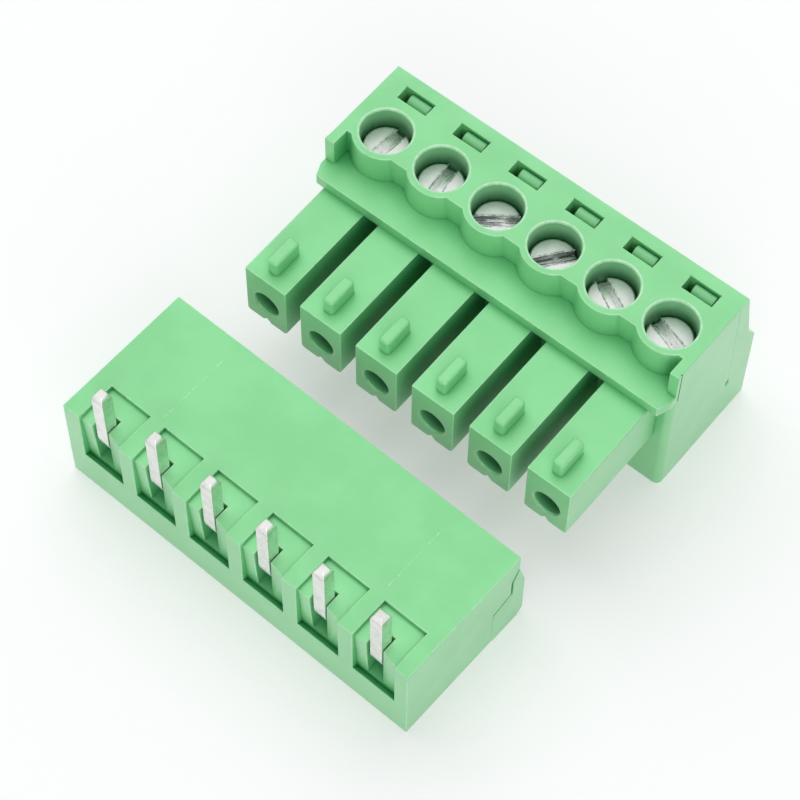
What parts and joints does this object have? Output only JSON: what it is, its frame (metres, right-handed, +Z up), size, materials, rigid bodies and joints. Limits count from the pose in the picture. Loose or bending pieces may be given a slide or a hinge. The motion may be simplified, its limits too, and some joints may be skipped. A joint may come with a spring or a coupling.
{
  "type": "pluggable terminal block",
  "caption": "Unplugged pair: a screw-clamp cable plug with a row of tines, and its right-angle board header lying upside down with square pins up.",
  "frame": {"origin": "middle of the plug's base, on the line through its screws", "axes": "+X along the row of poles, -Y from the plug to the header, +Z up"},
  "size_m": [0.0254, 0.0279, 0.0114],
  "materials": {
    "green_housing": "semi-matt moulded nylon",
    "green_cover": "semi-matt moulded nylon",
    "screw_steel": "bright zinc plating",
    "cage_zinc": "zinc plating",
    "contact_bronze": "tinned bronze sheet",
    "pin_tin": "bright tin plating"
  },
  "bodies": {
    "block": {"plug_housing": "green_housing", "rear_cover": "green_cover", "contact_1": "contact_bronze", "contact_2": "contact_bronze", "contact_3": "contact_bronze", "contact_4": "contact_bronze", "contact_5": "contact_bronze", "contact_6": "contact_bronze", "header_housing": "green_housing", "header_pin_1": "pin_tin", "header_pin_2": "pin_tin", "header_pin_3": "pin_tin", "header_pin_4": "pin_tin", "header_pin_5": "pin_tin", "header_pin_6": "pin_tin"},
    "screw_1": {"screw_1": "screw_steel"},
    "screw_2": {"screw_2": "screw_steel"},
    "screw_3": {"screw_3": "screw_steel"},
    "screw_4": {"screw_4": "screw_steel"},
    "screw_5": {"screw_5": "screw_steel"},
    "screw_6": {"screw_6": "screw_steel"},
    "clamp_cage_1": {"clamp_cage_1": "cage_zinc"},
    "clamp_cage_2": {"clamp_cage_2": "cage_zinc"},
    "clamp_cage_3": {"clamp_cage_3": "cage_zinc"},
    "clamp_cage_4": {"clamp_cage_4": "cage_zinc"},
    "clamp_cage_5": {"clamp_cage_5": "cage_zinc"},
    "clamp_cage_6": {"clamp_cage_6": "cage_zinc"}
  },
  "joints": [
    {"name": "screw_1_turn", "type": "hinge", "parent": "block", "child": "screw_1", "pos_m": [-0.00953, 0, 0.0095], "axis": [0, 0, -1], "range_deg": [0, 1530]},
    {"name": "clamp_1_rise", "type": "slide", "parent": "block", "child": "clamp_cage_1", "axis": [0, 0, 1], "range_m": [0, 0.0017]},
    {"name": "screw_2_turn", "type": "hinge", "parent": "block", "child": "screw_2", "pos_m": [-0.00571, 0, 0.0095], "axis": [0, 0, -1], "range_deg": [0, 1530]},
    {"name": "clamp_2_rise", "type": "slide", "parent": "block", "child": "clamp_cage_2", "axis": [0, 0, 1], "range_m": [0, 0.0017]},
    {"name": "screw_3_turn", "type": "hinge", "parent": "block", "child": "screw_3", "pos_m": [-0.00191, 0, 0.0095], "axis": [0, 0, -1], "range_deg": [0, 1530]},
    {"name": "clamp_3_rise", "type": "slide", "parent": "block", "child": "clamp_cage_3", "axis": [0, 0, 1], "range_m": [0, 0.0017]},
    {"name": "screw_4_turn", "type": "hinge", "parent": "block", "child": "screw_4", "pos_m": [0.00191, 0, 0.0095], "axis": [0, 0, -1], "range_deg": [0, 1530]},
    {"name": "clamp_4_rise", "type": "slide", "parent": "block", "child": "clamp_cage_4", "axis": [0, 0, 1], "range_m": [0, 0.0017]},
    {"name": "screw_5_turn", "type": "hinge", "parent": "block", "child": "screw_5", "pos_m": [0.00571, 0, 0.0095], "axis": [0, 0, -1], "range_deg": [0, 1530]},
    {"name": "clamp_5_rise", "type": "slide", "parent": "block", "child": "clamp_cage_5", "axis": [0, 0, 1], "range_m": [0, 0.0017]},
    {"name": "screw_6_turn", "type": "hinge", "parent": "block", "child": "screw_6", "pos_m": [0.00953, 0, 0.0095], "axis": [0, 0, -1], "range_deg": [0, 1530]},
    {"name": "clamp_6_rise", "type": "slide", "parent": "block", "child": "clamp_cage_6", "axis": [0, 0, 1], "range_m": [0, 0.0017]}
  ],
  "couplings": [
    {"joint": "screw_1_turn", "follows": "clamp_1_rise", "rad_per_m": 15708},
    {"joint": "screw_2_turn", "follows": "clamp_2_rise", "rad_per_m": 15708},
    {"joint": "screw_3_turn", "follows": "clamp_3_rise", "rad_per_m": 15708},
    {"joint": "screw_4_turn", "follows": "clamp_4_rise", "rad_per_m": 15708},
    {"joint": "screw_5_turn", "follows": "clamp_5_rise", "rad_per_m": 15708},
    {"joint": "screw_6_turn", "follows": "clamp_6_rise", "rad_per_m": 15708}
  ]
}
